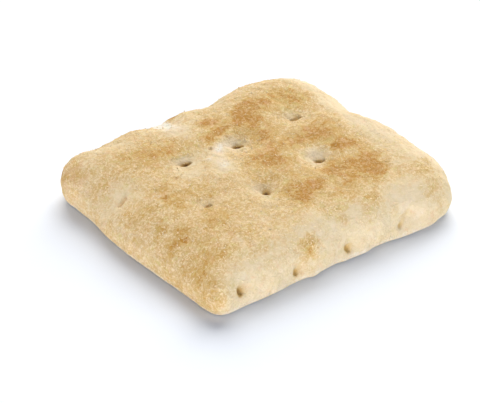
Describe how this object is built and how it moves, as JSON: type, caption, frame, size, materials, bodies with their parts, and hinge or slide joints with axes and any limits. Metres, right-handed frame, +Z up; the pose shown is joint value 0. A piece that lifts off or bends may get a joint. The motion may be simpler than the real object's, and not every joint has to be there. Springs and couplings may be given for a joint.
{
  "type": "focaccia",
  "caption": "Square sandwich focaccia: a low, puffed flatbread with rounded sides, a flat base and rows of docking pits in a golden crust.",
  "frame": {"origin": "under the middle of the bread, on the surface it lies on", "axes": "+X along the longer side, +Z up through the top crust, and the side with the row of pits faces -Y"},
  "size_m": [0.1309, 0.1177, 0.0241],
  "materials": {
    "crust": "matt baked crust, golden beige with browner patches and a little flour"
  },
  "bodies": {
    "root": {"focaccia": "crust"}
  },
  "joints": []
}
